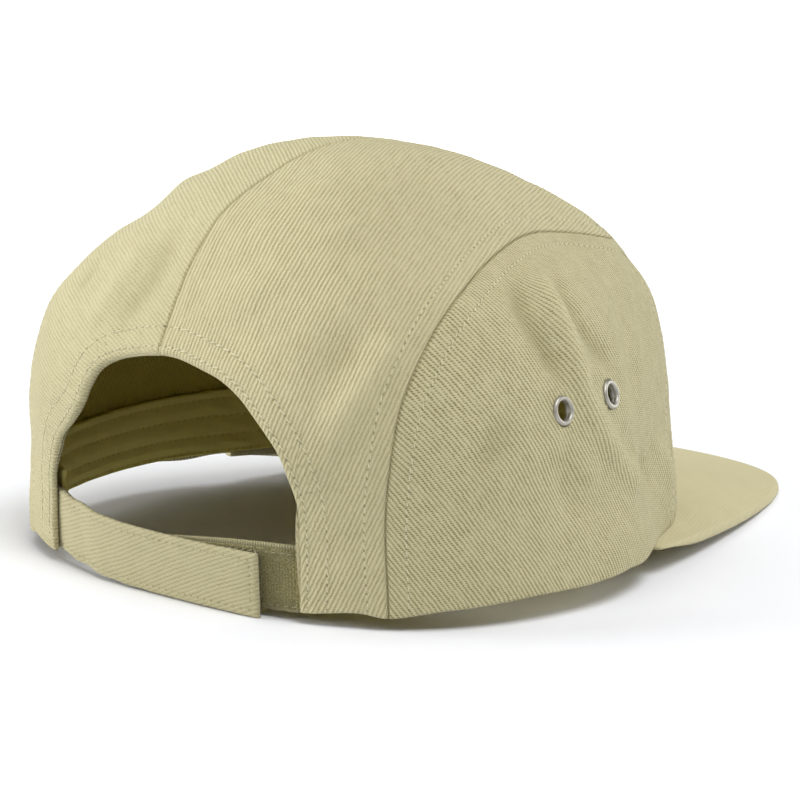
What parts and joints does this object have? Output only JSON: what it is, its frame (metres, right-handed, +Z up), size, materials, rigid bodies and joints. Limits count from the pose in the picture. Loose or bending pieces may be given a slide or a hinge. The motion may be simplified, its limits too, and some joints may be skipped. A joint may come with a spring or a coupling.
{
  "type": "five panel cap",
  "caption": "Soft cotton twill cap with a flat curved-edge peak, a two-panel crown behind a low front panel, side panels with metal eyelets, and a hook and loop strap across the back arch.",
  "frame": {"origin": "under the middle of the cap's box, on the surface that it stands on", "axes": "+Y towards the back of the cap, +X towards the wearer's left, +Z up"},
  "size_m": [0.1808, 0.2502, 0.1158],
  "materials": {
    "twill": "matte cotton twill",
    "sweatband": "matte cotton",
    "loop_tape": "fuzzy loop pile",
    "hook_tape": "fine nylon hooks",
    "eyelet_metal": "satin nickel"
  },
  "bodies": {
    "root": {"front_panel": "twill", "side_panel_right": "twill", "side_panel_left": "twill", "eyelet_right_back": "eyelet_metal", "eyelet_right_front": "eyelet_metal", "eyelet_left_back": "eyelet_metal", "eyelet_left_front": "eyelet_metal", "back_panel_right": "twill", "back_panel_left": "twill", "peak": "twill", "strap": "twill", "hook_tape": "hook_tape", "loop_tape": "loop_tape", "loop_strap": "twill", "sweatband": "sweatband"}
  },
  "joints": []
}
